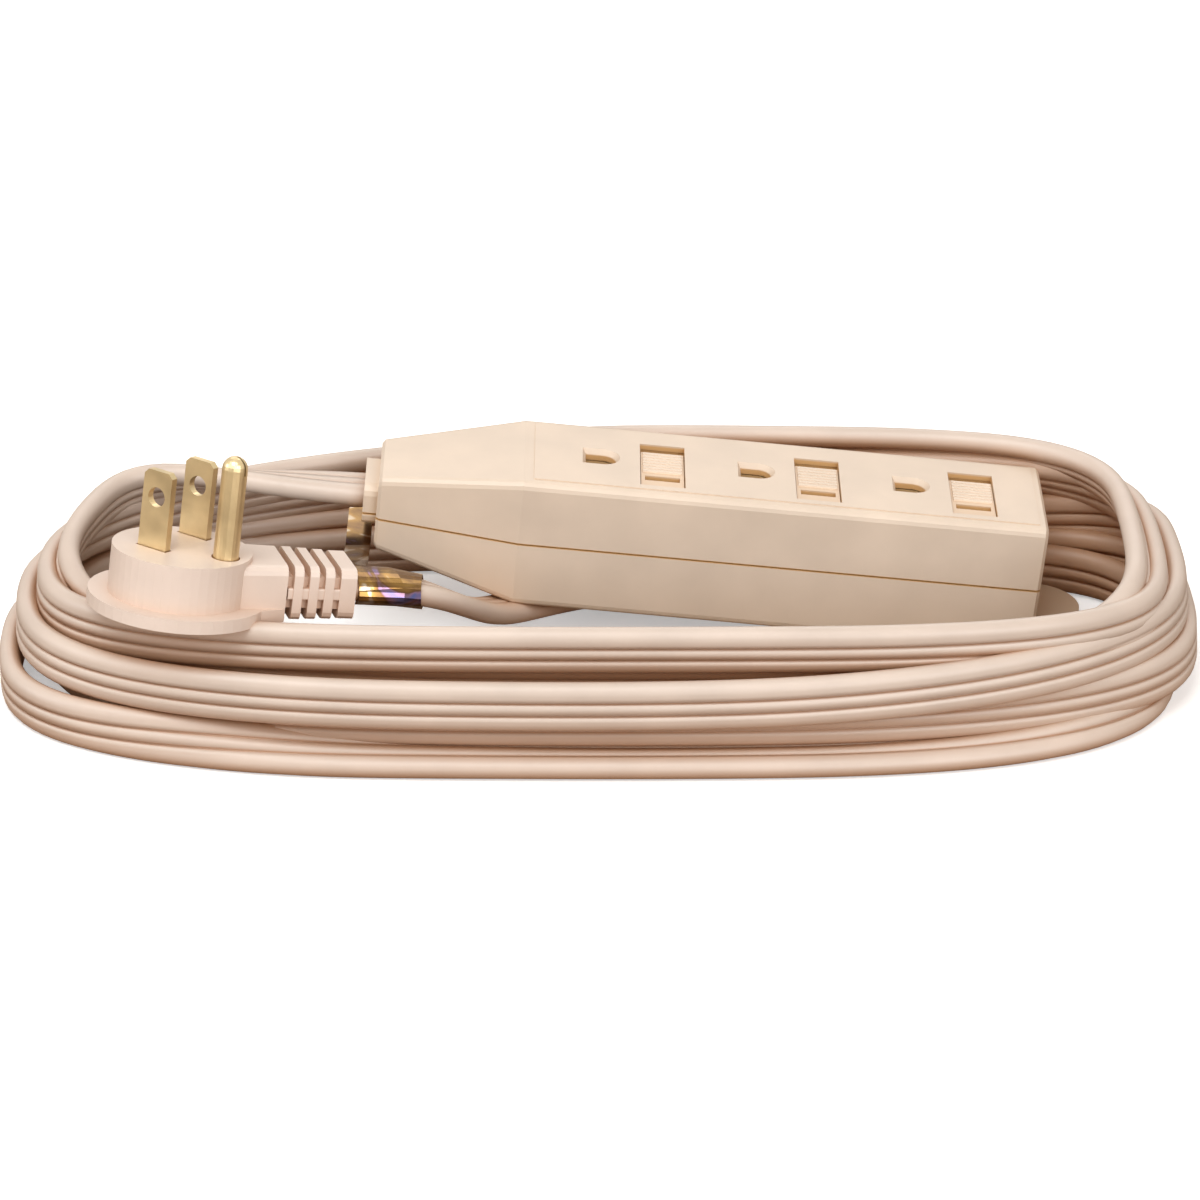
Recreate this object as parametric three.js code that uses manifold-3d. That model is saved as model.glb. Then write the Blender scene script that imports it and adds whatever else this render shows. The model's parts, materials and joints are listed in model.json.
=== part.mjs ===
// Three-outlet extension cord: a power tap with sliding safety covers, a flat
// three-conductor cord wound in an oval coil, and a flat plug lying on the coil.
// Millimetres, +Z up, origin on the floor under the middle of the tap.
import * as THREE from 'three';
import * as BufferGeometryUtils from 'three/addons/utils/BufferGeometryUtils.js';
import Module from 'manifold-3d';

const wasm = await Module();
wasm.setup();

// ---- driving dimensions -------------------------------------------------
const GAP = 0.3;

const TAP = {
  width: 29.5, height: 26.3, leftEnd: -72.7, rightEnd: 56.3, bend: -45,
  noseWidth: 19, noseLow: 6.4, noseHigh: 22, split: 13.2, wall: 2, round: 1.5, tilt: 5.8,
};
const OUTLET_PITCH = 30.25;
const OUTLETS = [-OUTLET_PITCH, 0, OUTLET_PITCH];
const BLADE_OFFSET = 11.9;
const BLADE_HALF_GAP = 6.35;
const GROUND_HOLE = { length: 5.9, width: 5.4, funnel: 0.7, funnelDepth: 1.1 };
const PANEL = { left: -43.2, right: 54.6, halfWidth: 12.5, rise: 0.2 };
const WINDOW = { width: 8.75, near: -10.85, far: 7.4, track: 10.8 };
const COVER = { width: 8.35, flange: 10.4, length: 15.6, slotLength: 6.8, slotWidth: 2 };
// Grip ridges across a cover, as half the width of a ridge at its foot and at its top.
const RIDGES = { count: 7, first: -4.2, margin: 0.5, sideGap: 0.4, foot: 0.5, top: 0.36, height: 0.38 };
const NECK = { length: 2.7, width: 14.6, height: 8.3, middle: 14.8 };
const EAR = { reach: 10.2, width: 16, low: 1.1, high: 3.7 };
const CARRIER = { left: -43, right: 52.5, halfWidth: 11.6, low: 6.5, high: 24.0 };
const BUS = { width: 3.6, thick: 0.8, low: 7.2, left: -40, right: 47 };
const CORD = { width: 9.8, thick: 4 };

const PLUG = {
  origin: [-103.2, -41.8, 37.4], yaw: -33.06, pitch: 0.52, roll: -12.18,
  discX: 3.2, discY: -1.8, discRadius: 13.1, flangeRadius: 16.8, discHeight: 9, flangeThick: 2.5,
  exitAngle: 48, neckEnd: 18.9, reliefEnd: 32.2, neckWidth: 15, neckHeight: 10.4,
};
const BLADE = { width: 6.35, thick: 1.52, length: 14.8, hole: 3.8, holeHeight: 9.8, clip: 0.9, root: 5.5 };
const PIN = { diameter: 4.8, length: 19.5, offset: 11.9, root: 5.5 };

// The oval that the coil fills, seen from above; power sets how square its ends are.
const COIL = {
  centreX: -24, centreY: -17, outerX: 115, outerY: 50.5, innerX: 101, innerY: 37.5, height: 29, power: 3.2,
};

// Routes of the cord's two free ends, chosen by hand.
const TAP_LEAD = [
  [-71.1, 0, 28.1], [-80.1, 0.8, 28.4], [-90.1, 2.6, 28.4], [-101.1, 4.5, 28.3], [-111.1, 4.2, 27.9],
  [-118.6, 0.5, 26.8],
];
const PLUG_LEAD = [
  [-70.5, -38.1, 26.5], [-63.4, -36.2, 25.1], [-56.5, -31.9, 21.6], [-51, -26, 16.2], [-46.5, -19, 10.8],
  [-41, -10.5, 7.5], [-33.5, -2.8, 5.8], [-25, 3.6, 4.2], [-15.5, 9, 3.2], [-5, 13.9, 3], [6, 17.4, 3.8],
  [17, 19.2, 4.9], [28, 19.7, 5.3],
];

// Foil label: a band round the cord beside the plug, and a flag that hangs back
// under the tap's neck along the profile (y, z).
const LABEL = { left: -69.9, right: -57.6, clear: 0.7, thick: 0.35 };
const FLAG = {
  left: -73.2, right: -68.4, thick: 0.35,
  profile: [[-30.6, 25.4], [-20, 22.2], [-10, 20.5], [6.5, 20.6]],
};

// ---- geometry helpers ---------------------------------------------------
function toSolid(geometry) {
  const bare = geometry.clone();
  bare.deleteAttribute('normal');
  bare.deleteAttribute('uv');
  const merged = BufferGeometryUtils.mergeVertices(bare, 1e-4);
  return new wasm.Manifold(new wasm.Mesh({
    numProp: 3,
    vertProperties: new Float32Array(merged.attributes.position.array),
    triVerts: new Uint32Array(merged.index.array),
  }));
}

function toGeometry(solid) {
  const mesh = solid.getMesh();
  const geometry = new THREE.BufferGeometry();
  geometry.setAttribute('position', new THREE.BufferAttribute(new Float32Array(mesh.vertProperties), 3));
  geometry.setIndex(new THREE.BufferAttribute(new Uint32Array(mesh.triVerts), 1));
  geometry.computeVertexNormals();
  return geometry;
}

function box(x0, x1, y0, y1, z0, z1) {
  const geometry = new THREE.BoxGeometry(x1 - x0, y1 - y0, z1 - z0);
  geometry.translate((x0 + x1) / 2, (y0 + y1) / 2, (z0 + z1) / 2);
  return toSolid(geometry);
}

function rod(x, y, z0, z1, radius, sides = 24) {
  const geometry = new THREE.CylinderGeometry(radius, radius, z1 - z0, sides);
  geometry.rotateX(Math.PI / 2);
  geometry.translate(x, y, (z0 + z1) / 2);
  return toSolid(geometry);
}

function rodAlongX(x0, x1, y, z, radius, sides = 16) {
  const geometry = new THREE.CylinderGeometry(radius, radius, x1 - x0, sides);
  geometry.rotateZ(Math.PI / 2);
  geometry.translate((x0 + x1) / 2, y, z);
  return toSolid(geometry);
}

function prism(shape, z0, z1, curveSegments = 12) {
  const geometry = new THREE.ExtrudeGeometry(shape, { depth: z1 - z0, bevelEnabled: false, curveSegments });
  geometry.translate(0, 0, z0);
  return toSolid(geometry);
}

function outline(points) {
  return new THREE.Shape(points.map(([x, y]) => new THREE.Vector2(x, y)));
}

// A ring of points round a rectangle with rounded corners, in the YZ plane at x.
function roundedSection(x, halfWidth, low, high, radius, steps = 3) {
  const points = [];
  const corners = [[1, 1, 0], [-1, 1, 1], [-1, -1, 2], [1, -1, 3]];
  for (const [sy, sz, quarter] of corners) {
    for (let i = 0; i <= steps; i += 1) {
      const angle = (quarter + i / steps) * Math.PI / 2;
      const y = sy * (halfWidth - radius) + radius * Math.cos(angle);
      const z = (sz > 0 ? high - radius : low + radius) + radius * Math.sin(angle);
      points.push([x, y, z]);
    }
  }
  return points;
}

// A closed body through rings that have the same number of points.
function loft(rings) {
  const count = rings[0].length;
  const positions = rings.flat(2);
  const index = [];
  for (let r = 0; r < rings.length - 1; r += 1) {
    for (let i = 0; i < count; i += 1) {
      const a = r * count + i;
      const b = r * count + (i + 1) % count;
      index.push(a, a + count, b, b, a + count, b + count);
    }
  }
  for (const [ring, flip] of [[0, false], [rings.length - 1, true]]) {
    const first = ring * count;
    for (let i = 1; i < count - 1; i += 1) {
      index.push(first, ...(flip ? [first + i + 1, first + i] : [first + i, first + i + 1]));
    }
  }
  const geometry = new THREE.BufferGeometry();
  geometry.setAttribute('position', new THREE.Float32BufferAttribute(positions, 3));
  geometry.setIndex(index);
  const solid = toSolid(geometry);
  if (solid.volume() > 0) return solid;
  const flipped = index.slice();
  for (let i = 0; i < flipped.length; i += 3) [flipped[i], flipped[i + 1]] = [flipped[i + 1], flipped[i]];
  geometry.setIndex(flipped);
  return toSolid(geometry);
}

function union(solids) {
  return solids.reduce((sum, solid) => sum.add(solid));
}

function makeMesh(name, source, colour, roughness = 0.5, metalness = 0) {
  const geometry = source.isBufferGeometry ? source : toGeometry(source);
  const material = new THREE.MeshStandardMaterial({ color: colour, roughness, metalness });
  const mesh = new THREE.Mesh(geometry, material);
  mesh.name = name;
  return mesh;
}

// ---- the tap's casing ---------------------------------------------------
const BEIGE = 0xe6d5be;
const CORD_BEIGE = 0xead5c6;
const BRASS = 0xc9a862;

function casingBody(inset) {
  const { width, height, leftEnd, rightEnd, bend, noseWidth, noseLow, noseHigh, round } = TAP;
  const radius = Math.max(round - inset, 0.4);
  const section = (x, w, low, high) => roundedSection(x, w / 2 - inset, low + inset, high - inset, radius);
  const tip = 0.6;
  const rings = [
    section(leftEnd + inset, noseWidth - 2 * tip, noseLow + tip, noseHigh - tip),
    section(leftEnd + inset + tip, noseWidth, noseLow, noseHigh),
    section(bend, width, 0, height),
    section(rightEnd - inset - tip, width, 0, height),
    section(rightEnd - inset, width - 2 * tip, tip, height - tip),
  ];
  return loft(rings);
}

function casingShell() {
  const neck = roundedNeck(TAP.leftEnd - NECK.length, TAP.leftEnd + 1);
  const ear = prism(earOutline(), EAR.low, EAR.high);
  const hollow = casingBody(TAP.wall);
  const bore = box(TAP.leftEnd - NECK.length - 1, TAP.leftEnd + 6,
    -CORD.width / 2 - GAP, CORD.width / 2 + GAP,
    NECK.middle - CORD.thick / 2 - GAP, NECK.middle + CORD.thick / 2 + GAP);
  return casingBody(0).add(neck).add(ear).subtract(hollow).subtract(bore);
}

function roundedNeck(x0, x1) {
  const half = NECK.height / 2;
  const section = (x) => roundedSection(x, NECK.width / 2, NECK.middle - half, NECK.middle + half, 2);
  return loft([section(x0), section(x1)]);
}

function earOutline() {
  const half = EAR.width / 2;
  const shape = new THREE.Shape();
  const tip = TAP.rightEnd + EAR.reach;
  shape.moveTo(TAP.rightEnd - 1, -half);
  shape.lineTo(tip - half, -half);
  shape.absarc(tip - half, 0, half, -Math.PI / 2, Math.PI / 2, false);
  shape.lineTo(TAP.rightEnd - 1, half);
  shape.closePath();
  return shape;
}

// Flat on the left, round on the right.
function groundHoleOutline(x, grow = 0) {
  const half = GROUND_HOLE.width / 2 + grow;
  const left = x - GROUND_HOLE.length / 2 - grow;
  const shape = new THREE.Shape();
  shape.moveTo(left, -half);
  shape.lineTo(left + GROUND_HOLE.length + 2 * grow - half, -half);
  shape.absarc(left + GROUND_HOLE.length + 2 * grow - half, 0, half, -Math.PI / 2, Math.PI / 2, false);
  shape.lineTo(left, half);
  shape.closePath();
  return shape;
}

// Widens the ground hole towards the face of the tap.
function groundFunnel(x) {
  const { funnel, funnelDepth } = GROUND_HOLE;
  const top = TAP.height + PANEL.rise;
  const levels = [[top - funnelDepth, 0], [top, funnel], [top + 1, funnel]];
  return loft(levels.map(([z, grow]) => groundHoleOutline(x, grow).getPoints(12).map((p) => [p.x, p.y, z])));
}

// The first screw sits in the nose, where the casing's floor is higher.
const SCREWS = [[-56, 0], [-12.5, 0], [48.5, 0]];
const SCREW = {
  radius: 1.5, head: 2.7, headHeight: 2, tips: [19, 15.5, 15.5], boss: 4.2, bossTop: 5.8, post: 3.4,
};
const NOSE_FLOOR = 1.4;

function tapUpperShell() {
  const panel = box(PANEL.left, PANEL.right, -PANEL.halfWidth, PANEL.halfWidth,
    TAP.height - 1, TAP.height + PANEL.rise);
  let shell = casingShell().subtract(box(-100, 100, -40, 40, -5, TAP.split + GAP / 2)).add(panel);
  const ceiling = TAP.height - TAP.wall;
  for (const x of OUTLETS) {
    const centre = x + BLADE_OFFSET;
    const hole = prism(groundHoleOutline(x), ceiling - 1, TAP.height + 1).add(groundFunnel(x));
    const opening = box(centre - WINDOW.width / 2, centre + WINDOW.width / 2,
      WINDOW.near, WINDOW.far, ceiling - 1, TAP.height + 1);
    const track = box(centre - WINDOW.track / 2, centre + WINDOW.track / 2,
      WINDOW.near - 0.2, WINDOW.far + 0.2, ceiling - 1, TAP.height - 1);
    shell = shell.subtract(hole).subtract(opening).subtract(track);
  }
  const [x, y] = SCREWS[0];
  const hole = rod(x, y, 0, SCREW.tips[0] + 0.5, SCREW.radius + 0.2);
  const post = rod(x, y, TAP.split + GAP / 2, ceiling - 1, SCREW.post).subtract(hole);
  return shell.add(post);
}

function tapLowerShell() {
  let shell = casingShell().subtract(box(-100, 100, -40, 40, TAP.split - GAP / 2, 40));
  for (const [x, y] of SCREWS) {
    const floor = x < TAP.bend ? NOSE_FLOOR : 0;
    shell = shell.add(rod(x, y, floor + 1, floor + SCREW.bossTop, SCREW.boss));
    shell = shell.subtract(rod(x, y, -2, floor + SCREW.headHeight + 0.8, SCREW.head + GAP));
    shell = shell.subtract(rod(x, y, -2, 12, SCREW.radius + GAP));
  }
  return shell;
}

function screw(index) {
  const [x, y] = SCREWS[index];
  const floor = x < TAP.bend ? NOSE_FLOOR : 0;
  const low = floor + 0.4;
  const slot = box(x - 2, x + 2, y - 0.4, y + 0.4, low - 1, low + 0.8);
  const cross = box(x - 0.4, x + 0.4, y - 2, y + 2, low - 1, low + 0.8);
  const head = rod(x, y, low, low + SCREW.headHeight, SCREW.head);
  return head.add(rod(x, y, low + 1, SCREW.tips[index], SCREW.radius, 12)).subtract(slot).subtract(cross);
}

// A cover in its open place: ridged grip in the middle, blade slot near the front.
function slideCover(outletX) {
  const centre = outletX + BLADE_OFFSET;
  const near = WINDOW.near + GAP;
  const far = near + COVER.length;
  const low = TAP.height - TAP.wall + 0.1;
  const top = TAP.height - 0.45;
  let cover = box(centre - COVER.width / 2, centre + COVER.width / 2, near, far, low, top)
    .add(box(centre - COVER.flange / 2, centre + COVER.flange / 2, near, far, low, TAP.height - 1.3));
  cover = cover.subtract(box(centre - COVER.slotLength / 2, centre + COVER.slotLength / 2,
    -BLADE_HALF_GAP - COVER.slotWidth / 2, -BLADE_HALF_GAP + COVER.slotWidth / 2, low - 1, top + 1));
  const { foot, height } = RIDGES;
  const ridge = outline([[-foot, -0.1], [foot, -0.1], [RIDGES.top, height], [-RIDGES.top, height]]);
  const pitch = (far - RIDGES.margin - RIDGES.first) / RIDGES.count;
  for (let i = 0; i < RIDGES.count; i += 1) {
    const y = RIDGES.first + (i + 0.5) * pitch;
    const depth = COVER.width - 2 * RIDGES.sideGap;
    const bar = new THREE.ExtrudeGeometry(ridge, { depth, bevelEnabled: false });
    bar.rotateX(Math.PI / 2);
    bar.rotateZ(Math.PI / 2);
    bar.translate(centre - COVER.width / 2 + RIDGES.sideGap, y, top);
    cover = cover.add(toSolid(bar));
  }
  return cover;
}

// Insulating block under the covers: three channels for the bus strips and slots above them.
function contactCarrier() {
  const { left, right, halfWidth, low, high } = CARRIER;
  let block = box(left, right, -halfWidth, halfWidth, low, high);
  const channels = [[-BLADE_HALF_GAP, 4.4], [0, 6.2], [BLADE_HALF_GAP, 4.4]];
  for (const [y, width] of channels) {
    block = block.subtract(box(left - 1, right - 0.9, y - width / 2, y + width / 2, low - 1, 19));
  }
  for (const x of OUTLETS) {
    const centre = x + BLADE_OFFSET;
    for (const [y, halfLength, halfWide] of [[-BLADE_HALF_GAP, 3.6, 1.1], [BLADE_HALF_GAP, 4.2, 1.15]]) {
      block = block.subtract(box(centre - halfLength, centre + halfLength, y - halfWide, y + halfWide, 18, 30));
    }
    block = block.subtract(prism(groundHoleOutline(x, 0.1), 18, 30));
  }
  for (const [x, y] of SCREWS.slice(1)) {
    block = block.subtract(rod(x, y, 0, 17, SCREW.radius + 0.4));
  }
  return block;
}

// A strip along the tap with a pair of spring leaves under each opening.
function busStrip(y, positions, leafSpan, leafHalf) {
  const { width, thick, low, left, right } = BUS;
  let strip = box(left, right, y - width / 2, y + width / 2, low, low + thick);
  for (const [x, screwY] of SCREWS.slice(1)) {
    if (y !== screwY) continue;
    strip = strip.add(rod(x, y, low, low + thick, 2.8)).subtract(rod(x, y, 0, 30, SCREW.radius + 0.4));
  }
  for (const x of positions) {
    for (const side of [-1, 1]) {
      const profile = outline([
        [side * 1.5, 0.4], [side * leafHalf, 7], [side * 1.5, 10.6], [side * 1.1, 10.6],
        [side * (leafHalf - 0.45), 7], [side * 1.1, 0.4],
      ]);
      const leaf = new THREE.ExtrudeGeometry(profile, { depth: leafSpan, bevelEnabled: false });
      leaf.rotateX(Math.PI / 2);
      leaf.rotateZ(Math.PI / 2);
      leaf.translate(x - leafSpan / 2, y, low);
      strip = strip.add(toSolid(leaf));
    }
  }
  return strip;
}

function cordClamp() {
  const half = CORD.thick / 2 + GAP;
  const block = box(-67, -63, -6.4, 6.4, NECK.middle - 4.2, NECK.middle + 4.2);
  const hole = box(-70, -60, -CORD.width / 2 - GAP, CORD.width / 2 + GAP, NECK.middle - half, NECK.middle + half);
  return block.subtract(hole);
}

// One insulated conductor, from the cord's end past the front screw to its bus strip.
function innerWire(startY, pastScrewY, endY) {
  const points = [
    [-62.2, startY, NECK.middle], [-59.8, (startY + pastScrewY) / 2, 11.8], [-56, pastScrewY, 11],
    [-50, (pastScrewY + endY) / 2, 9.6], [-44, endY, 8.8], [-40.5, endY, 8.7],
  ];
  const path = new THREE.CatmullRomCurve3(points.map((p) => new THREE.Vector3(...p)));
  return tube(path, 1.15, 1.15, 8, 14);
}

// A closed tube of oval section along a curve; the section turns from flat to upright by twist.
function tube(path, halfAcross, halfUp, sides, steps, bank = () => 0) {
  const rings = [];
  for (let i = 0; i <= steps; i += 1) {
    const t = i / steps;
    const centre = path.getPointAt(t);
    const along = path.getTangentAt(t);
    const across = new THREE.Vector3(0, 0, 1).cross(along).normalize();
    const up = along.clone().cross(across).normalize();
    const angle = bank(t);
    const wide = across.clone().multiplyScalar(Math.cos(angle)).addScaledVector(up, Math.sin(angle));
    const thin = up.clone().multiplyScalar(Math.cos(angle)).addScaledVector(across, -Math.sin(angle));
    const ring = [];
    for (let s = 0; s < sides; s += 1) {
      const a = (s + 0.5) / sides * Math.PI * 2;
      const point = centre.clone()
        .addScaledVector(wide, halfAcross * Math.cos(a))
        .addScaledVector(thin, halfUp * Math.sin(a));
      ring.push(point.toArray());
    }
    rings.push(ring);
  }
  return loft(rings);
}

// ---- the plug -----------------------------------------------------------
function discOutline(radius) {
  const shape = new THREE.Shape();
  shape.absarc(PLUG.discX, PLUG.discY, radius, 0, Math.PI * 2, false);
  return shape;
}

// Turns a solid made along +X from the disc's centre towards the cord exit.
function towardsExit(solid) {
  const turned = solid.rotate([0, 0, PLUG.exitAngle]);
  return turned.translate([PLUG.discX, PLUG.discY, 0]);
}

const PLUG_LOW = -PLUG.discHeight - PLUG.flangeThick;
const NECK_TOP = -0.9;

// Where the flange narrows to the neck, on the exit side of the disc.
function flangeTaper(grow) {
  const end = PLUG.neckEnd + grow;
  const edge = [[8, 13.6 + grow], [14, 9.2 + grow], [end, PLUG.neckWidth / 2 + grow]];
  return outline([...edge.map(([x, y]) => [x, -y]), ...edge.reverse()]);
}

function plugBody() {
  const disc = prism(discOutline(PLUG.discRadius), -PLUG.discHeight - 1, 0, 24);
  const flange = prism(discOutline(PLUG.flangeRadius), PLUG_LOW, -PLUG.discHeight, 24)
    .add(towardsExit(prism(flangeTaper(0), PLUG_LOW, -PLUG.discHeight)));
  const half = PLUG.neckWidth / 2;
  const neck = towardsExit(loft([
    roundedSection(6, half + 1, NECK_TOP - PLUG.neckHeight, NECK_TOP, 1.6),
    roundedSection(PLUG.neckEnd, half, NECK_TOP - PLUG.neckHeight, NECK_TOP, 1.6),
  ]));
  const bridge = bridgeBlock(GAP);
  const middle = NECK_TOP - PLUG.neckHeight / 2;
  const cordHole = towardsExit(box(5, 40, -CORD.width / 2 - GAP, CORD.width / 2 + GAP,
    middle - CORD.thick / 2 - GAP, middle + CORD.thick / 2 + GAP));
  let body = union([disc, flange, neck]).subtract(bridge).subtract(cordHole);
  for (const side of [-1, 1]) body = body.subtract(bladeBox(side, GAP));
  return body.subtract(rod(PIN.offset, 0, -PIN.root - 1, 2, PIN.diameter / 2 + GAP, 32));
}

function bridgeBlock(grow) {
  const block = box(-3.6 - grow, 9.2 + grow, -9 - grow, 7.6 + grow, -7.6 - grow, -3.4 + grow);
  const nose = box(8, 15 + grow, -3.1 - grow, 3.1 + grow, -7.6 - grow, -3.4 + grow);
  return block.add(nose);
}

function bladeBox(side, grow) {
  const y = side * BLADE_HALF_GAP;
  return box(-BLADE.width / 2 - grow, BLADE.width / 2 + grow,
    y - BLADE.thick / 2 - grow, y + BLADE.thick / 2 + grow, -BLADE.root - grow, BLADE.length + grow);
}

function plugBridge() {
  let bridge = bridgeBlock(0);
  for (const side of [-1, 1]) bridge = bridge.subtract(bladeBox(side, GAP));
  return bridge.subtract(rod(PIN.offset, 0, -PIN.root - GAP, 2, PIN.diameter / 2 + GAP));
}

function blade(side) {
  const half = BLADE.width / 2;
  const { clip } = BLADE;
  const shape = outline([
    [-half, -BLADE.root], [half, -BLADE.root], [half, BLADE.length - clip],
    [half - clip, BLADE.length], [-half + clip, BLADE.length], [-half, BLADE.length - clip],
  ]);
  const hole = new THREE.Path();
  hole.absarc(0, BLADE.holeHeight, BLADE.hole / 2, 0, Math.PI * 2, true);
  shape.holes.push(hole);
  const geometry = new THREE.ExtrudeGeometry(shape,
    { depth: BLADE.thick, bevelEnabled: false, curveSegments: 12 });
  geometry.rotateX(Math.PI / 2);
  geometry.translate(0, side * BLADE_HALF_GAP + BLADE.thick / 2, 0);
  return toSolid(geometry);
}

function groundPin() {
  const radius = PIN.diameter / 2;
  const profile = [new THREE.Vector2(0, -PIN.root), new THREE.Vector2(radius, -PIN.root)];
  for (let i = 0; i <= 6; i += 1) {
    const angle = i / 6 * Math.PI / 2;
    const across = i === 6 ? 0 : radius * Math.cos(angle);
    profile.push(new THREE.Vector2(across, PIN.length - radius + radius * Math.sin(angle)));
  }
  const lathe = new THREE.LatheGeometry(profile, 24);
  lathe.rotateX(Math.PI / 2);
  lathe.translate(PIN.offset, 0, 0);
  const seam = box(PIN.offset - 3, PIN.offset + 3, -0.2, 0.2, PIN.length - 3.4, PIN.length + 1);
  const bore = rod(PIN.offset, 0, -PIN.root - 1, PIN.length - 3, 1.3, 16);
  return toSolid(lathe).subtract(seam.intersect(rod(PIN.offset + 1.7, 0, 0, 30, 1.6))).subtract(bore);
}

// Ribs and an end collar, joined by a web that lies almost flush with them.
const RELIEF = { slot: 1.25, rib: 1.75, ribs: 3, shrink: 0.06, corner: 1.6, webHalf: 1.1, webInset: 0.15 };

function strainRelief() {
  const start = PLUG.neckEnd + GAP;
  const middle = NECK_TOP - PLUG.neckHeight / 2;
  const solids = [];
  for (let i = 0; i <= RELIEF.ribs; i += 1) {
    const scale = 1 - RELIEF.shrink * i / RELIEF.ribs;
    const x0 = PLUG.neckEnd + RELIEF.slot + i * (RELIEF.slot + RELIEF.rib);
    const x1 = i === RELIEF.ribs ? PLUG.reliefEnd : x0 + RELIEF.rib;
    const section = (x) => roundedSection(x, PLUG.neckWidth / 2 * scale,
      middle - PLUG.neckHeight / 2 * scale, middle + PLUG.neckHeight / 2 * scale, RELIEF.corner);
    solids.push(loft([section(x0), section(x1)]));
  }
  const end = PLUG.reliefEnd - 0.7;
  const web = (x, scale) => roundedSection(x, PLUG.neckWidth / 2 * scale - RELIEF.webInset,
    middle - RELIEF.webHalf, middle + RELIEF.webHalf, 0.3);
  solids.push(loft([web(start, 1), web(end, 1 - RELIEF.shrink)]));
  solids.push(box(start, end, -CORD.width / 2 - 1, CORD.width / 2 + 1,
    middle - CORD.thick / 2 - 1, middle + CORD.thick / 2 + 1));
  const hole = box(start - 1, PLUG.reliefEnd + 1, -CORD.width / 2 - GAP, CORD.width / 2 + GAP,
    middle - CORD.thick / 2 - GAP, middle + CORD.thick / 2 + GAP);
  return towardsExit(union(solids).subtract(hole));
}

// ---- the coil -----------------------------------------------------------
function ovalOutline(halfX, halfY) {
  const points = [];
  const steps = 44;
  const power = 2 / COIL.power;
  for (let i = 0; i < steps; i += 1) {
    const angle = i / steps * Math.PI * 2;
    const c = Math.cos(angle);
    const s = Math.sin(angle);
    points.push([
      COIL.centreX + halfX * Math.sign(c) * Math.abs(c) ** power,
      COIL.centreY + halfY * Math.sign(s) * Math.abs(s) ** power,
    ]);
  }
  return points;
}

// One side of the coil's outer shape, so that its middle stays open.
function coilSide(index) {
  const shape = outline(ovalOutline(COIL.outerX, COIL.outerY));
  const inner = ovalOutline(COIL.innerX, COIL.innerY).map(([x, y]) => new THREE.Vector2(x, y));
  shape.holes.push(new THREE.Path(inner));
  const ring = prism(shape, 0, COIL.height);
  const reachX = 60;
  const x = COIL.centreX;
  const far = 400;
  const half = GAP / 2;
  const cuts = [
    box(-far, x - reachX - half, -far, far, -5, 50),
    box(x - reachX + half, x + reachX - half, -far, COIL.centreY, -5, 50),
    box(x + reachX + half, far, -far, far, -5, 50),
    box(x - reachX + half, x + reachX - half, COIL.centreY, far, -5, 50),
  ];
  return ring.intersect(cuts[index]);
}

// ---- assembly -----------------------------------------------------------
const group = new THREE.Group();
const tap = new THREE.Group();
const plug = new THREE.Group();

tap.add(makeMesh('tap_upper_shell', tapUpperShell(), BEIGE));
tap.add(makeMesh('tap_lower_shell', tapLowerShell(), BEIGE));
tap.add(makeMesh('contact_carrier', contactCarrier(), 0xd9cbb4, 0.6));
OUTLETS.forEach((x, i) => tap.add(makeMesh(`slide_cover_${i + 1}`, slideCover(x), BEIGE)));
const bladeCentres = OUTLETS.map((x) => x + BLADE_OFFSET);
tap.add(makeMesh('hot_bus', busStrip(-BLADE_HALF_GAP, bladeCentres, 6, 0.9), BRASS, 0.35, 1));
tap.add(makeMesh('neutral_bus', busStrip(BLADE_HALF_GAP, bladeCentres, 7, 0.9), BRASS, 0.35, 1));
tap.add(makeMesh('ground_bus', busStrip(0, OUTLETS, 5, 1.9), BRASS, 0.35, 1));
tap.add(makeMesh('cord_clamp', cordClamp(), 0xc8bca8, 0.6));
tap.add(makeMesh('hot_wire', innerWire(-3.2, -6.2, -BLADE_HALF_GAP), 0x222222));
tap.add(makeMesh('ground_wire', innerWire(0, -3.2, 0), 0x2f7a3f));
tap.add(makeMesh('neutral_wire', innerWire(3.2, 4.6, BLADE_HALF_GAP), 0xeeeeee));
SCREWS.forEach((_, i) => tap.add(makeMesh(`assembly_screw_${i + 1}`, screw(i), 0x9a9a98, 0.3, 1)));
tap.rotation.y = THREE.MathUtils.degToRad(TAP.tilt);
const tapBox = new THREE.Box3().setFromObject(tap, true);
tap.position.set(-(tapBox.min.x + tapBox.max.x) / 2, -(tapBox.min.y + tapBox.max.y) / 2, -tapBox.min.z);
group.add(tap);

plug.add(makeMesh('plug_body', plugBody(), CORD_BEIGE));
plug.add(makeMesh('plug_bridge', plugBridge(), 0x3a3a3a, 0.6));
plug.add(makeMesh('plug_strain_relief', strainRelief(), CORD_BEIGE));
plug.add(makeMesh('blade_hot', blade(-1), BRASS, 0.3, 1));
plug.add(makeMesh('blade_neutral', blade(1), BRASS, 0.3, 1));
plug.add(makeMesh('ground_pin', groundPin(), BRASS, 0.3, 1));
plug.position.set(...PLUG.origin);
const radians = [PLUG.roll, PLUG.pitch, PLUG.yaw].map(THREE.MathUtils.degToRad);
plug.rotation.set(radians[0], radians[1], radians[2], 'ZYX');
group.add(plug);

const smooth = (t) => t * t * (3 - 2 * t);
const tapBank = (t) => smooth(t) * Math.PI / 2;
const plugBank = (t) => smooth(Math.max(0, t * 3 - 2)) * Math.PI / 2;

function lead(points, steps, bank, grow = 0, sides = 10) {
  const curve = new THREE.CatmullRomCurve3(points.map((p) => new THREE.Vector3(...p)), false, 'centripetal');
  return tube(curve, CORD.width / 2 + grow, CORD.thick / 2 + grow, sides, steps, bank);
}

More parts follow.
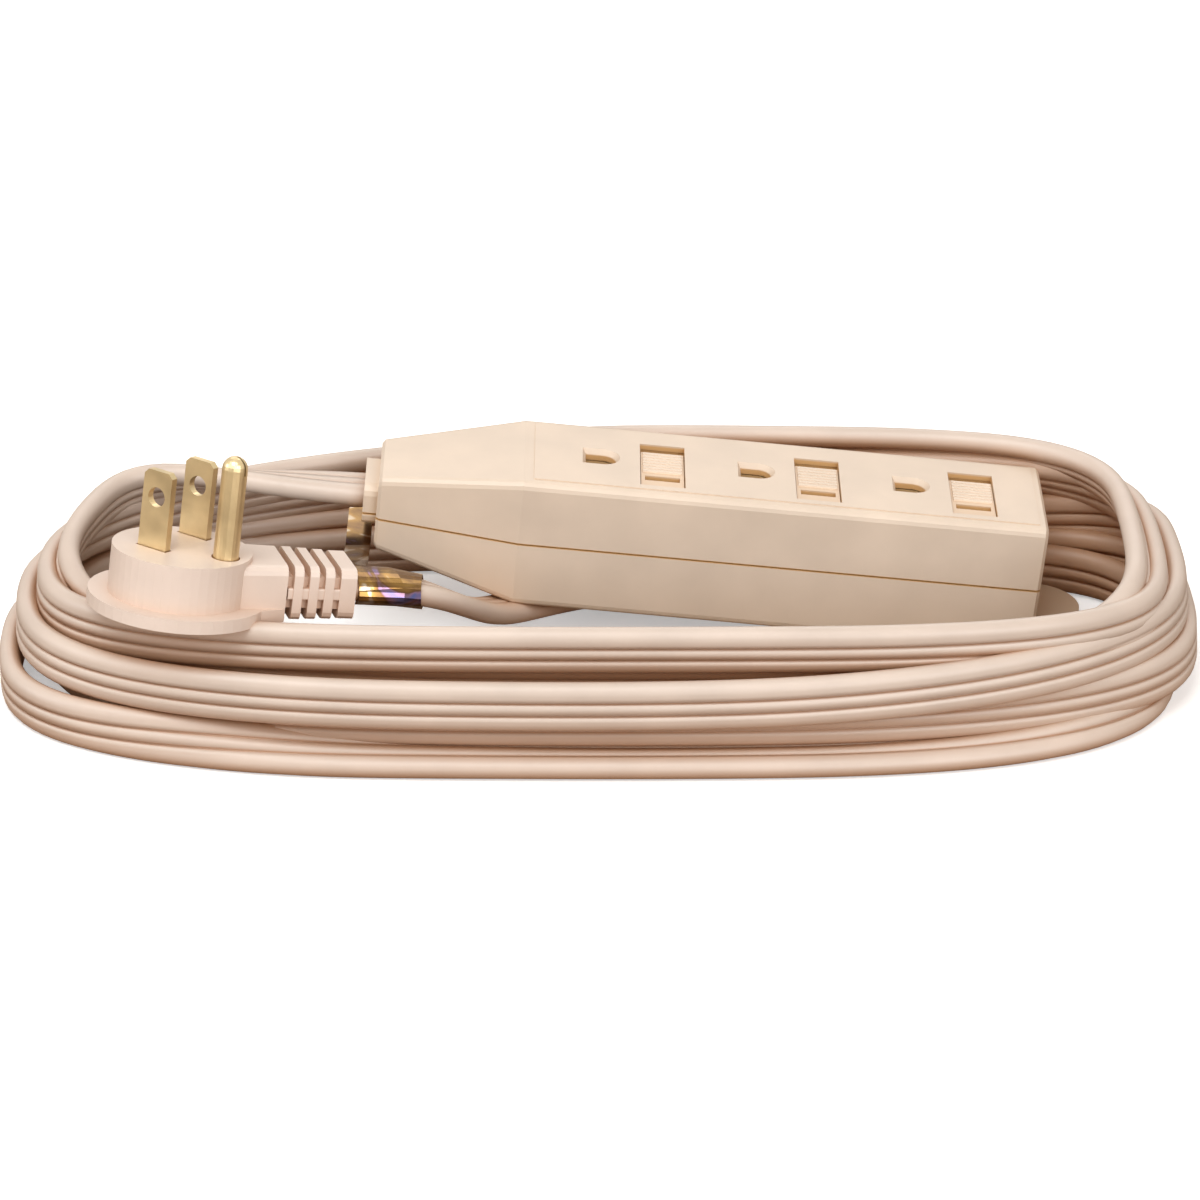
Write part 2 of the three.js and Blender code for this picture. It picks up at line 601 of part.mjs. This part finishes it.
group.add(makeMesh('cord_tap_lead', lead(TAP_LEAD, 8, tapBank), CORD_BEIGE));
group.add(makeMesh('cord_plug_lead', lead(PLUG_LEAD, 16, plugBank), CORD_BEIGE));

function labelBand() {
  const outer = lead(PLUG_LEAD, 16, plugBank, LABEL.clear + LABEL.thick, 24);
  const inner = lead(PLUG_LEAD, 16, plugBank, LABEL.clear, 24);
  return outer.subtract(inner).intersect(box(LABEL.left, LABEL.right, -60, 0, 0, 50));
}

function labelFlag() {
  const top = FLAG.profile.map(([y, z]) => [y, z + FLAG.thick]).reverse();
  const sheet = new THREE.ExtrudeGeometry(outline([...FLAG.profile, ...top]),
    { depth: FLAG.right - FLAG.left, bevelEnabled: false });
  const alongX = new THREE.Matrix4().makeBasis(
    new THREE.Vector3(0, 1, 0), new THREE.Vector3(0, 0, 1), new THREE.Vector3(1, 0, 0));
  sheet.applyMatrix4(alongX);
  sheet.translate(FLAG.left, 0, 0);
  return toSolid(sheet);
}

group.add(makeMesh('cord_label', labelBand(), 0xd9b36a, 0.3, 1));
group.add(makeMesh('cord_label_flag', labelFlag(), 0xd9b36a, 0.3, 1));

// The coil stays clear of what lies on it and passes through it.
const plugRoom = union([
  prism(discOutline(PLUG.flangeRadius + 0.5), PLUG_LOW - 0.5, 1),
  towardsExit(prism(flangeTaper(0.5), PLUG_LOW - 0.5, 1)),
  towardsExit(box(0, PLUG.reliefEnd + 1, -PLUG.neckWidth / 2 - 0.5, PLUG.neckWidth / 2 + 0.5, PLUG_LOW, 1)),
]).rotate([PLUG.roll, PLUG.pitch, PLUG.yaw]).translate(PLUG.origin);
const tapRoom = casingBody(-0.5).rotate([0, TAP.tilt, 0]).translate(tap.position.toArray());
const room = [plugRoom, tapRoom, lead(TAP_LEAD, 8, tapBank, 0.5), lead(PLUG_LEAD, 16, plugBank, 0.5)];
['left', 'front', 'right', 'back'].forEach((side, i) => {
  const solid = room.reduce((rest, cut) => rest.subtract(cut), coilSide(i));
  group.add(makeMesh(`cord_coil_${side}`, solid, CORD_BEIGE));
});

export default group;
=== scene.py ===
"""Three-outlet extension cord on a pale floor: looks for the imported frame."""
import json
import math
import bpy
import bmesh
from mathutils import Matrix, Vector


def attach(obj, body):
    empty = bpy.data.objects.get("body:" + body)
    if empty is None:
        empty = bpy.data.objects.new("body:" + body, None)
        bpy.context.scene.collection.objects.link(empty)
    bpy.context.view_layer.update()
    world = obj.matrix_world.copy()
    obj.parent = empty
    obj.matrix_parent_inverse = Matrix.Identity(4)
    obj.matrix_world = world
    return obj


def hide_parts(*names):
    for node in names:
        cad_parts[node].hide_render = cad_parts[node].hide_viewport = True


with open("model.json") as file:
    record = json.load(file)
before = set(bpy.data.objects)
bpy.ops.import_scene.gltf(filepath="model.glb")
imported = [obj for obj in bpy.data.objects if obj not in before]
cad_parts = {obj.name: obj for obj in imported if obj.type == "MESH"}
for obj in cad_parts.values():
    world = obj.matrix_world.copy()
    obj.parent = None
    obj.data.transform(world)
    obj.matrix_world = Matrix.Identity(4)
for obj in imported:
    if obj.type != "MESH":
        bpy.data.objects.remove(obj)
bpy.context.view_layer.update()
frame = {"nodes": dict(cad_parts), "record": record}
MM = 0.001

# ---- camera ---------------------------------------------------------------
VIEW_TARGET = Vector((-24.0, -19.2, 13.6)) * MM
VIEW_ELEVATION = math.radians(27.0)
VIEW_DISTANCE = 961.5 * MM
LENS = 150.0
SENSOR_WIDTH = 36.0


def make_camera():
    data = bpy.data.cameras.new("camera")
    data.lens = LENS
    data.sensor_width = SENSOR_WIDTH
    data.clip_start = 0.01
    camera = bpy.data.objects.new("camera", data)
    bpy.context.scene.collection.objects.link(camera)
    away = Vector((0.0, -math.cos(VIEW_ELEVATION), math.sin(VIEW_ELEVATION)))
    camera.location = VIEW_TARGET + away * VIEW_DISTANCE
    camera.rotation_euler = (math.pi / 2 - VIEW_ELEVATION, 0.0, 0.0)
    bpy.context.scene.camera = camera


make_camera()

# ---- the cord's route -----------------------------------------------------
CORD_WIDTH = 9.8
CORD_THICK = 4.0

# Free ends, as in the design: x, y, z in mm and the lean of the
# wide side from upright, in degrees (90 is flat, positive leans inwards).
TAP_LEAD = [
    (-65.1, 0.0, 27.5, 90), (-71.1, 0.0, 28.1, 90), (-80.1, 0.8, 28.4, 84),
    (-90.1, 2.6, 28.4, 72), (-101.1, 4.5, 28.3, 54), (-111.1, 4.2, 27.9, 34),
    (-118.6, 0.5, 26.8, 18),
]
PLUG_LEAD = [
    (28.0, 19.7, 5.3, -12), (17.0, 19.2, 4.9, -30), (6.0, 17.4, 3.8, -60),
    (-5.0, 13.9, 3.0, -84), (-15.5, 9.0, 3.2, -90), (-25.0, 3.6, 4.2, -90),
    (-33.5, -2.8, 5.8, -90), (-41.0, -10.5, 7.5, -90), (-46.5, -19.0, 10.8, -90),
    (-51.0, -26.0, 16.2, -90), (-56.5, -31.9, 21.6, -92), (-63.4, -36.2, 25.1, -93),
    (-70.5, -38.1, 26.5, -95), (-78.1, -40.1, 27.8, -97),
]

# The coil, one row a turn, from the top inner turn to the bottom outer one. Each
# of its four places gives the offset from the middle, the height, the lean, how
# square the oval is on the way to the next place, and how late the height and
# the lean change on that way (1 is even, less is sooner).
COIL_MIDDLE = (-24.0, -20.0)
COIL_TURNS = [
    dict(left=(101.9, 25.2, 14, 2.9, 0.5), front=(33.4, 16.4, 0, 4.8, 1.5),
         right=(102.6, 25.6, 20, 4.2, 1), back=(45.6, 27.2, 60, 2.1, 0.35)),
    dict(left=(105.9, 20.0, 6, 2.9, 1), front=(37.4, 22.7, -10, 3.6, 1),
         right=(106.6, 21.4, 10, 4.2, 1), back=(45.6, 22.0, 52, 2.2, 0.45)),
    dict(left=(109.9, 14.6, 4, 2.9, 1), front=(44.6, 14.7, 0, 2.5, 0.8),
         right=(110.7, 18.2, 8, 4.2, 1), back=(45.4, 8.6, 0, 2.4, 1)),
    dict(left=(104.6, 8.8, 0, 2.9, 1), front=(40.5, 9.3, 0, 2.8, 1),
         right=(112.9, 8.8, 4, 4.2, 1), back=(41.2, 5.0, 0, 2.6, 1)),
    dict(left=(113.2, 5.0, 0, 3.5, 2.3), front=(42.4, 2.2, 84, 3.1, 1.2),
         right=(108.4, 5.0, 6, 4.2, 1), back=(36.9, 5.2, 0, 3.1, 1)),
]
PLACES = ("left", "front", "right", "back")
STEPS_PER_QUARTER = 8
LAST_STEPS = 5  # on the coil's last quarter, before the lead to the plug takes over
FLOOR_GAP = 0.05
DENSE_STEPS = 10
FIRST_SPACING = 2.0
SMOOTHING_PASSES = 12
RING_SPACING = 2.6


def ease(t):
    return t * t * (3 - 2 * t)


def coil_place(index):
    """The coil's place number index, counted from the left of the first turn."""
    turn, place = divmod(index, len(PLACES))
    return COIL_TURNS[min(turn, len(COIL_TURNS) - 1)][PLACES[place]]


def resting_height(lean):
    """How high the middle of the cord is when it lies on the floor at this lean."""
    angle = math.radians(lean)
    straight = (CORD_WIDTH - CORD_THICK) / 2
    return straight * abs(math.cos(angle)) + CORD_THICK / 2 + FLOOR_GAP


def coil_points():
    """x, y, z and lean along the coil, from the first left to the last right."""
    points = []
    last = len(PLACES) * (len(COIL_TURNS) - 1) + PLACES.index("right")
    for index in range(last + 1):
        here = coil_place(index)
        there = coil_place(index + 1)
        _, height, lean, squareness, late = here
        steps = STEPS_PER_QUARTER if index < last else LAST_STEPS
        for step in range(steps):
            part = step / STEPS_PER_QUARTER
            angle = math.radians(180 + 90 * (index + part))
            power = 2 / squareness
            sideways, lengthways = (there, here) if index % 2 else (here, there)
            c, s = math.cos(angle), math.sin(angle)
            x = COIL_MIDDLE[0] + sideways[0] * math.copysign(abs(c) ** power, c)
            y = COIL_MIDDLE[1] + lengthways[0] * math.copysign(abs(s) ** power, s)
            mix = ease(part ** late)
            z = height + (there[1] - height) * mix
            tilt = lean + (there[2] - lean) * mix
            points.append((x, y, max(z, resting_height(tilt)), tilt))
    return points


def spline(points, spacing):
    """A smooth line through the points, given again at even steps of its length."""
    dense = []
    count = len(points)
    for i in range(count - 1):
        p0 = Vector(points[max(i - 1, 0)])
        p1 = Vector(points[i])
        p2 = Vector(points[i + 1])
        p3 = Vector(points[min(i + 2, count - 1)])
        for k in range(DENSE_STEPS):
            t = k / DENSE_STEPS
            a = 2 * p1
            b = p2 - p0
            c = 2 * p0 - 5 * p1 + 4 * p2 - p3
            d = -p0 + 3 * p1 - 3 * p2 + p3
            dense.append(0.5 * (a + b * t + c * t * t + d * t * t * t))
    dense.append(Vector(points[-1]))
    out = [dense[0]]
    travelled = 0.0
    for a, b in zip(dense, dense[1:]):
        step = (b.xyz - a.xyz).length
        while travelled + step >= spacing:
            share = (spacing - travelled) / step
            a = a.lerp(b, share)
            out.append(a.copy())
            step = (b.xyz - a.xyz).length
            travelled = 0.0
            if step == 0:
                break
        travelled += step
    return out


def smoothed(points, passes):
    """Evens out the line where its stretches join; its two ends stay."""
    for _ in range(passes):
        middle = [(a + 2 * b + c) / 4 for a, b, c in zip(points, points[1:], points[2:])]
        points = [points[0]] + middle + [points[-1]]
    return points


def cord_section():
    """Flat three-core section: round edges and two grooves on each broad side."""
    half_w = CORD_WIDTH / 2
    half_t = CORD_THICK / 2
    flat = half_w - half_t
    groove_at = 1.3
    side_end = 2.4
    edge_steps = 7
    # Across one broad side: a sharp V-groove at each joint between conductors.
    groove = ((-0.36, 0.0), (-0.14, 0.6), (0.0, 0.85), (0.14, 0.6), (0.36, 0.0))
    side = [(-side_end, half_t)]
    for middle in (-groove_at, groove_at):
        side += [(middle + w, half_t - depth) for w, depth in groove]
    side.append((side_end, half_t))
    edge = []
    for i in range(edge_steps + 1):
        angle = math.pi / 2 - math.pi * i / edge_steps
        edge.append((flat + half_t * math.cos(angle), half_t * math.sin(angle)))
    ring = side + edge
    ring += [(-w, -n) for w, n in side]
    ring += [(-w, -n) for w, n in edge]
    return ring


def new_object(name, mesh):
    piece = bpy.data.objects.new(name, mesh)
    bpy.context.scene.collection.objects.link(piece)
    return piece


def smooth_mesh(mesh):
    for polygon in mesh.polygons:
        polygon.use_smooth = True


def sweep(name, line, section):
    """A closed ribbon of the section along the line, each point x, y, z and lean."""
    count = len(section)
    verts = []
    faces = []
    for i, point in enumerate(line):
        before = line[max(i - 1, 0)].xyz
        after = line[min(i + 1, len(line) - 1)].xyz
        along = (after - before).normalized()
        inward = Vector((0, 0, 1)).cross(along).normalized()
        up = along.cross(inward).normalized()
        lean = math.radians(point.w)
        wide = up * math.cos(lean) + inward * math.sin(lean)
        thin = wide.cross(along)
        verts += [(point.xyz + wide * w + thin * n) * MM for w, n in section]
    for i in range(len(line) - 1):
        for k in range(count):
            a = i * count + k
            b = i * count + (k + 1) % count
            faces.append((a, b, b + count, a + count))
    faces.append(tuple(range(count)))
    faces.append(tuple(reversed(range((len(line) - 1) * count, len(line) * count))))
    mesh = bpy.data.meshes.new(name)
    mesh.from_pydata(verts, [], faces)
    bm = bmesh.new()
    bm.from_mesh(mesh)
    bmesh.ops.recalc_face_normals(bm, faces=bm.faces)
    bm.to_mesh(mesh)
    bm.free()
    smooth_mesh(mesh)
    return new_object(name, mesh)


def make_cord():
    route = TAP_LEAD + coil_points() + PLUG_LEAD
    line = smoothed(spline(route, FIRST_SPACING), SMOOTHING_PASSES)
    line = spline(line, RING_SPACING)
    cord = sweep("power_cord", line, cord_section())
    path = [tuple(p.xyz * MM) for p in line[::2]]
    return cord, path


cord, cord_path = make_cord()

# ---- node helpers ---------------------------------------------------------
# The colour inputs and output of a Mix node share their names with its other ones.
MIX_FACTOR, MIX_FIRST, MIX_SECOND, MIX_RESULT = 0, 6, 7, 2


def new_material(name):
    """An empty material, with its nodes, its links and its shader."""
    material = bpy.data.materials.new(name)
    material.use_nodes = True
    tree = material.node_tree
    return material, tree.nodes, tree.links, tree.nodes["Principled BSDF"]


def math_node(nodes, links, operation, first, *values):
    """A Math node fed by a socket, with plain numbers or sockets in its other inputs."""
    node = nodes.new("ShaderNodeMath")
    node.operation = operation
    links.new(first, node.inputs[0])
    for index, value in enumerate(values, start=1):
        if isinstance(value, (int, float)):
            node.inputs[index].default_value = value
        else:
            links.new(value, node.inputs[index])
    return node.outputs["Value"]


def colour_ramp(nodes, links, source, stops):
    """The colours that the source picks from a ramp; stops are (position, colour)."""
    ramp = nodes.new("ShaderNodeValToRGB")
    elements = ramp.color_ramp.elements
    for element, (position, colour) in ((elements[0], stops[0]), (elements[1], stops[-1])):
        element.position = position
        element.color = (*colour, 1)
    for position, colour in stops[1:-1]:
        elements.new(position).color = (*colour, 1)
    links.new(source, ramp.inputs["Fac"])
    return ramp.outputs["Color"]


def map_range(nodes, links, source, **limits):
    """The source mapped between limits such as from_min=0.1; 0 to 1 where none is given."""
    node = nodes.new("ShaderNodeMapRange")
    for limit, value in limits.items():
        node.inputs[limit.replace("_", " ").title()].default_value = value
    links.new(source, node.inputs["Value"])
    return node.outputs["Result"]


def noise(nodes, links, place, scale, detail, distortion=0.0):
    texture = nodes.new("ShaderNodeTexNoise")
    texture.inputs["Scale"].default_value = scale
    texture.inputs["Detail"].default_value = detail
    texture.inputs["Distortion"].default_value = distortion
    links.new(place, texture.inputs["Vector"])
    return texture.outputs["Fac"]


def blend(nodes, links, factor, first, second):
    """From the first colour, at factor 0, to the second; each is a socket or a tuple."""
    mix = nodes.new("ShaderNodeMix")
    mix.data_type = "RGBA"
    links.new(factor, mix.inputs[MIX_FACTOR])
    for slot, value in ((MIX_FIRST, first), (MIX_SECOND, second)):
        if isinstance(value, tuple):
            mix.inputs[slot].default_value = (*value, 1)
        else:
            links.new(value, mix.inputs[slot])
    return mix.outputs[MIX_RESULT]


# ---- stage ----------------------------------------------------------------
FLOOR_SIZE = 6.0
FLOOR_ROUGHNESS = 0.9
FLOOR_GLOW = 0.4
FLOOR_AS_BOUNCE = (0.34, 0.26, 0.20)
FLOOR_AS_SEEN = (0.9, 0.9, 0.9)
STUDIO_AS_LIGHT = (0.38, 0.295, 0.225)
STUDIO_AS_REFLECTION = (0.95, 0.91, 0.85)


def make_floor():
    """White to the eye, but darker as a bounce card, so that the coil's inside stays dark."""
    mesh = bpy.data.meshes.new("floor")
    half = FLOOR_SIZE / 2
    corners = [(-half, -half, 0), (half, -half, 0), (half, half, 0), (-half, half, 0)]
    mesh.from_pydata(corners, [], [(0, 1, 2, 3)])
    floor = new_object("floor", mesh)
    material, nodes, links, shader = new_material("floor_white")
    shader.inputs["Roughness"].default_value = FLOOR_ROUGHNESS
    shader.inputs["Emission Color"].default_value = (1.0, 1.0, 1.0, 1)
    seen = nodes.new("ShaderNodeLightPath").outputs["Is Camera Ray"]
    albedo = colour_ramp(nodes, links, seen, ((0.0, FLOOR_AS_BOUNCE), (1.0, FLOOR_AS_SEEN)))
    links.new(albedo, shader.inputs["Base Color"])
    glow = math_node(nodes, links, "MULTIPLY", seen, FLOOR_GLOW)
    links.new(glow, shader.inputs["Emission Strength"])
    mesh.materials.append(material)


def make_studio():
    """Dim and warm as a light, but bright and white as a reflection."""
    world = bpy.data.worlds.new("studio")
    bpy.context.scene.world = world
    world.use_nodes = True
    nodes = world.node_tree.nodes
    links = world.node_tree.links
    background = nodes["Background"]
    mirrored = nodes.new("ShaderNodeLightPath").outputs["Is Glossy Ray"]
    stops = ((0.0, STUDIO_AS_LIGHT), (1.0, STUDIO_AS_REFLECTION))
    links.new(colour_ramp(nodes, links, mirrored, stops), background.inputs["Color"])
    background.inputs["Strength"].default_value = 1.0


def area_light(name, place, size, power, colour=(1, 1, 1)):
    """A rectangular light that points at the origin."""
    data = bpy.data.lights.new(name, "AREA")
    data.shape = "RECTANGLE"
    data.size, data.size_y = size
    data.energy = power
    data.color = colour
    lamp = new_object(name, data)
    lamp.location = place
    lamp.rotation_euler = (-Vector(place)).to_track_quat("-Z", "Y").to_euler()


make_floor()
make_studio()
area_light("key", (-0.25, -0.45, 0.95), (0.7, 0.6), 6.9, (0.96, 0.995, 1.0))
area_light("fill", (0.45, -1.0, 0.5), (0.7, 0.7), 7.4, (0.97, 0.99, 1.0))
area_light("side", (-1.0, -0.2, 0.5), (0.6, 0.5), 3.2, (0.97, 0.99, 1.0))
area_light("rim", (0.1, 0.9, 0.7), (1.0, 0.4), 2.6)
bpy.context.scene.view_settings.view_transform = "Standard"

# ---- materials ------------------------------------------------------------
# The tap's face slopes: a point on it and its tilt, as in the design.
FACE_POINT = Vector((6.4, 0.0, 32.0)) * MM
FACE_TILT = math.radians(5.8)
FACE_NORMAL = Vector((math.sin(FACE_TILT), 0.0, math.cos(FACE_TILT)))
OPENINGS_X = (-36.0 * MM, 57.5 * MM)
OPENINGS_HALF_Y = 12.4 * MM
# Painted shade on the walls of the tap's openings, below their rims.
OPENING_SHADE_COLOUR = (0.62, 0.37, 0.16)
GROUND_HOLE_HALF_Y = 3.9 * MM
CASING_DEPTH = 20.0 * MM
SEAM_DEPTH = 13.3 * MM
SEAM_HALF = 0.24 * MM
# Painted shade: how far the darker crevice colour reaches, and how many rays find it.
CREVICE_SHADE_REACH = 30.0 * MM
CREVICE_SHADE_SAMPLES = 8
GRAIN_DEPTH = 0.2 * MM


def in_openings(nodes, links, place, start, end, ground_extra):
    """0 on the tap's outside and 1 in its openings, from start to end mm below its face.

    Both depths are ground_extra mm more along the middle, where the ground holes widen.
    The seam between the two shells counts as an opening too.
    """
    split = nodes.new("ShaderNodeSeparateXYZ")
    links.new(place, split.inputs["Vector"])
    along = nodes.new("ShaderNodeVectorMath")
    along.operation = "DOT_PRODUCT"
    along.inputs[1].default_value = FACE_NORMAL
    links.new(place, along.inputs[0])
    height = along.outputs["Value"]
    face = FACE_POINT.dot(FACE_NORMAL)
    middle = math_node(nodes, links, "COMPARE", split.outputs["Y"], 0.0, GROUND_HOLE_HALF_Y)
    raised = math_node(nodes, links, "MULTIPLY_ADD", middle, ground_extra * MM, height)
    share = map_range(nodes, links, raised, from_min=face - start * MM, from_max=face - end * MM)
    centre = (OPENINGS_X[0] + OPENINGS_X[1]) / 2
    reach = (OPENINGS_X[1] - OPENINGS_X[0]) / 2
    for limit in (
        math_node(nodes, links, "COMPARE", split.outputs["X"], centre, reach),
        math_node(nodes, links, "COMPARE", split.outputs["Y"], 0.0, OPENINGS_HALF_Y),
        math_node(nodes, links, "GREATER_THAN", height, face - CASING_DEPTH),
    ):
        share = math_node(nodes, links, "MULTIPLY", share, limit)
    seam = math_node(nodes, links, "COMPARE", height, face - SEAM_DEPTH, SEAM_HALF)
    return math_node(nodes, links, "MAXIMUM", share, seam)


def paint_opening_shade(material, start, end, ground_extra=0.0):
    """Paints shade, a deeper golden brown, on the walls of the tap's openings. The seam between
    the shells takes it too, as a dark joint line.
    """
    nodes = material.node_tree.nodes
    links = material.node_tree.links
    base = nodes["Principled BSDF"].inputs["Base Color"]
    outside = base.links[0].from_socket
    place = nodes.new("ShaderNodeTexCoord").outputs["Object"]
    inside = in_openings(nodes, links, place, start, end, ground_extra)
    links.new(blend(nodes, links, inside, outside, OPENING_SHADE_COLOUR), base)


def crevice_shaded(nodes, links, outside, crevice_shade):
    """The outside colour, and the crevice one where the surface is shut in by others: painted
    shade.
    """
    shut_in = nodes.new("ShaderNodeAmbientOcclusion")
    shut_in.samples = CREVICE_SHADE_SAMPLES
    shut_in.inputs["Distance"].default_value = CREVICE_SHADE_REACH
    openness = map_range(nodes, links, shut_in.outputs["AO"], from_min=0.1, from_max=0.85)
    return blend(nodes, links, openness, crevice_shade, outside)


def plastic(name, colour, roughness=0.42, bump=0.08, crevice_shade=None):
    """Moulded plastic: a little mottling, a fine grain and a soft gloss.

    A crevice colour paints shade on the plastic where it faces its own folds:
    a darker, warmer colour where shade falls.
    """
    material, nodes, links, shader = new_material(name)
    place = nodes.new("ShaderNodeTexCoord").outputs["Object"]
    mottle = noise(nodes, links, place, scale=60.0, detail=4.0)
    darker = [c * 0.94 for c in colour]
    lighter = [min(1.0, c * 1.04) for c in colour]
    base = colour_ramp(nodes, links, mottle, ((0.35, darker), (0.65, lighter)))
    if crevice_shade:
        base = crevice_shaded(nodes, links, base, crevice_shade)
    links.new(base, shader.inputs["Base Color"])
    height = nodes.new("ShaderNodeBump")
    height.inputs["Strength"].default_value = bump
    height.inputs["Distance"].default_value = GRAIN_DEPTH
    grain = noise(nodes, links, place, scale=900.0, detail=3.0)
    links.new(grain, height.inputs["Height"])
    links.new(height.outputs["Normal"], shader.inputs["Normal"])
    gloss = map_range(nodes, links, mottle, to_min=roughness - 0.06, to_max=roughness + 0.08)
    links.new(gloss, shader.inputs["Roughness"])
    return material


def metal(name, roughness, colour=None, sheen=None):
    """Metal with a few dull patches: one colour, or a sheen of several in patches."""
    material, nodes, links, shader = new_material(name)
    shader.inputs["Metallic"].default_value = 1.0
    place = nodes.new("ShaderNodeTexCoord").outputs["Object"]
    patches = noise(nodes, links, place, scale=140.0, detail=6.0)
    if sheen:
        bands = noise(nodes, links, place, scale=90.0, detail=2.0, distortion=1.5)
        base = colour_ramp(nodes, links, bands, sheen)
    else:
        duller = [c * 0.78 for c in colour]
        base = colour_ramp(nodes, links, patches, ((0.3, duller), (0.7, colour)))
    links.new(base, shader.inputs["Base Color"])
    gloss = map_range(nodes, links, patches, to_min=roughness - 0.08, to_max=roughness + 0.12)
    links.new(gloss, shader.inputs["Roughness"])
    return material


# The label's foil turns from blue and violet through brown and gold to silver.
FOIL_SHEEN = (
    (0.27, (0.08, 0.12, 0.32)), (0.33, (0.24, 0.15, 0.24)), (0.38, (0.14, 0.07, 0.03)),
    (0.55, (0.30, 0.17, 0.05)), (0.66, (0.75, 0.72, 0.66)),
)
# The crevice colours of the casing, cord and plug are painted shade where the surface is shut
# in.
MATERIALS = {
    "casing": plastic("casing_plastic", (0.685, 0.57, 0.465), crevice_shade=(0.66, 0.49, 0.34)),
    "cover": plastic("cover_plastic", (0.73, 0.60, 0.48)),
    "cord": plastic("cord_jacket", (0.615, 0.515, 0.447), roughness=0.4, bump=0.05,
                    crevice_shade=(0.48, 0.26, 0.14)),
    "plug": plastic("plug_plastic", (0.72, 0.605, 0.535), crevice_shade=(0.62, 0.42, 0.30)),
    "brass": metal("brass", 0.34, (0.78, 0.62, 0.36)),
    "insulator": plastic("insulator", (0.58, 0.38, 0.18), roughness=0.6),
    "wire_dark": plastic("wire_dark", (0.03, 0.03, 0.03)),
    "wire_green": plastic("wire_green", (0.04, 0.25, 0.08)),
    "wire_white": plastic("wire_white", (0.85, 0.85, 0.82)),
    "steel": metal("steel", 0.3, (0.6, 0.6, 0.6)),
    "foil": metal("foil", 0.2, sheen=FOIL_SHEEN),
}
# Painted shade on the opening walls of the casing and of the slide covers.
paint_opening_shade(MATERIALS["casing"], 0.1, 0.5, ground_extra=0.85)
paint_opening_shade(MATERIALS["cover"], 0.45, 1.1)


def dress(piece, key):
    piece.data.materials.clear()
    piece.data.materials.append(MATERIALS[key])


# Edge radius in mm of each designed piece whose sharp edges are rounded here.
ROUNDED = {
    "slide_cover_1": 0.08, "slide_cover_2": 0.08, "slide_cover_3": 0.08,
    "contact_carrier": 0.2, "cord_clamp": 0.3,
    "plug_body": 0.7, "plug_bridge": 0.2, "plug_strain_relief": 0.4,
    "blade_hot": 0.16, "blade_neutral": 0.16,
    "assembly_screw_1": 0.12, "assembly_screw_2": 0.12, "assembly_screw_3": 0.12,
}
FLAT_ANGLE = math.radians(1.0)  # facets closer than this are merged
ROUND_ANGLE = math.radians(32.0)  # edges sharper than this are rounded
SHARP_ANGLE = math.radians(35.0)  # edges sharper than this stay sharp where nothing is rounded
ROUND_SEGMENTS = 3


def soften(piece, radius):
    """Merges flat facets, rounds the sharp edges and shades the rest smoothly."""
    flat = piece.modifiers.new("merge_facets", "DECIMATE")
    flat.decimate_type = "DISSOLVE"
    flat.angle_limit = FLAT_ANGLE
    flat.use_dissolve_boundaries = False
    bevel = piece.modifiers.new("round_edges", "BEVEL")
    bevel.width = radius * MM
    bevel.segments = ROUND_SEGMENTS
    bevel.limit_method = "ANGLE"
    bevel.angle_limit = ROUND_ANGLE
    bevel.use_clamp_overlap = True
    bevel.harden_normals = True
    smooth_mesh(piece.data)


for row in frame["record"]["subparts"]:
    node = frame["nodes"][row["node"]]
    dress(node, row["material_slot"])
    if row["node"] in ROUNDED:
        soften(node, ROUNDED[row["node"]])
    else:
        smooth_mesh(node.data)
        node.data.set_sharp_from_angle(angle=SHARP_ANGLE)

dress(cord, "cord")
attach(cord, "root")
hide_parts("cord_tap_lead", "cord_plug_lead", "cord_coil_left", "cord_coil_front",
            "cord_coil_right", "cord_coil_back")
